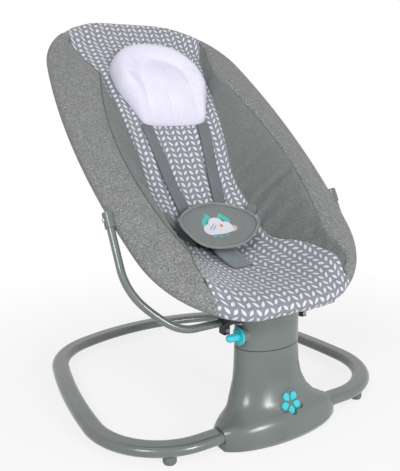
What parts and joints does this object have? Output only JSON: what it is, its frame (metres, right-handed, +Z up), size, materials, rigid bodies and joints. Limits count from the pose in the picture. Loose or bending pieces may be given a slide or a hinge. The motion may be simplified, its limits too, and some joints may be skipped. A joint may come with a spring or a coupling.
{
  "type": "bouncer seat",
  "caption": "Baby bouncer seat: reclining padded fabric seat with harness, swaying on a motorised pedestal over a flat-oval tube base ring.",
  "frame": {"origin": "on the floor, on the vertical sway axis of the pedestal", "axes": "+Z up; -Y towards the foot end, where the buttons are; +Y up the seat towards the head end; +X to the right seen from the foot end"},
  "size_m": [0.6358, 0.639, 0.7588],
  "materials": {
    "shell": "satin",
    "tube": "satin paint",
    "accent": "gloss",
    "black_plastic": "matt",
    "release": "satin",
    "rubber": "matt",
    "steel": "satin",
    "bronze": "satin",
    "nylon": "satin",
    "board": "satin",
    "heather_fabric": "knitted, heather grey",
    "sling_fabric": "woven, plain grey",
    "print_fabric": "quilted, printed with pale leaves",
    "pillow_fabric": "brushed knit",
    "webbing": "woven webbing",
    "cover_fabric": "knitted, padded"
  },
  "bodies": {
    "base": {"base_ring": "tube", "ring_feet": "rubber", "base_plate": "black_plastic", "plate_pads": "rubber", "plate_screws": "steel", "ring_bolts": "steel", "pedestal_cover": "shell", "chassis": "black_plastic", "chassis_screws": "steel", "upper_bearing": "bronze", "lower_bearing": "bronze", "motor_gearbox": "steel", "swing_motor": "steel", "gearbox_screws": "steel", "control_board": "board", "tact_switches": "black_plastic", "speaker": "black_plastic", "dc_inlet": "black_plastic"},
    "pinion": {"drive_pinion": "nylon"},
    "head": {"spindle": "steel", "sector_gear": "steel", "spindle_clip": "steel", "head_core": "black_plastic", "core_bolt": "steel", "core_screws": "steel", "head_shell": "shell", "head_cap": "shell", "knob_guide": "shell"},
    "knob": {"recline_knob": "accent"},
    "seat": {"support_tube": "tube", "lock_quadrant": "steel", "quadrant_pin": "steel", "side_socket_left": "shell", "side_socket_right": "shell", "socket_rivets": "steel", "front_bracket_left": "black_plastic", "front_bracket_right": "black_plastic", "bracket_screws": "steel", "hoop_lower": "tube", "hoop_upper": "tube", "seat_sling": "sling_fabric", "side_wing_left": "heather_fabric", "side_wing_right": "heather_fabric", "seat_insert": "print_fabric", "head_pillow": "pillow_fabric", "shoulder_strap_left": "webbing", "shoulder_strap_right": "webbing", "waist_strap_left": "webbing", "waist_strap_right": "webbing", "crotch_strap": "webbing", "buckle_body": "black_plastic", "buckle_tongue_left": "black_plastic", "buckle_tongue_right": "black_plastic", "buckle_cover": "cover_fabric"},
    "release": {"buckle_button": "release"},
    "power": {"power_button": "accent"},
    "speed": {"speed_button": "accent"},
    "timer": {"timer_button": "accent"},
    "melody": {"melody_button": "accent"},
    "volume": {"volume_button": "accent"}
  },
  "joints": [
    {"name": "head_sway", "type": "hinge", "parent": "base", "child": "head", "pos_m": [0, 0, 0.1], "axis": [0, 0, 1], "range_deg": [-10, 10]},
    {"name": "pinion_spin", "type": "hinge", "parent": "base", "child": "pinion", "pos_m": [0.045, 0, 0.128], "axis": [0, 0, 1], "range_deg": [-51, 51]},
    {"name": "knob_pull", "type": "slide", "parent": "head", "child": "knob", "axis": [-1, 0, 0], "range_m": [0, 0.008], "stiffness_N_per_m": 400},
    {"name": "seat_recline", "type": "hinge", "parent": "head", "child": "seat", "pos_m": [0, 0.01, 0.213], "axis": [-1, 0, 0], "range_deg": [0, 20]},
    {"name": "release_press", "type": "slide", "parent": "seat", "child": "release", "axis": [0, 0.6361, -0.7716], "range_m": [0, 0.002], "stiffness_N_per_m": 300},
    {"name": "power_press", "type": "slide", "parent": "base", "child": "power", "axis": [0, 0.9336, -0.3584], "range_m": [0, 0.0012], "stiffness_N_per_m": 300},
    {"name": "speed_press", "type": "slide", "parent": "base", "child": "speed", "axis": [0, 0.9336, -0.3584], "range_m": [0, 0.0012], "stiffness_N_per_m": 300},
    {"name": "timer_press", "type": "slide", "parent": "base", "child": "timer", "axis": [0, 0.9336, -0.3584], "range_m": [0, 0.0012], "stiffness_N_per_m": 300},
    {"name": "melody_press", "type": "slide", "parent": "base", "child": "melody", "axis": [0, 0.9336, -0.3584], "range_m": [0, 0.0012], "stiffness_N_per_m": 300},
    {"name": "volume_press", "type": "slide", "parent": "base", "child": "volume", "axis": [0, 0.9336, -0.3584], "range_m": [0, 0.0012], "stiffness_N_per_m": 300}
  ],
  "couplings": [
    {"joint": "pinion_spin", "follows": "head_sway", "ratio": -5}
  ]
}
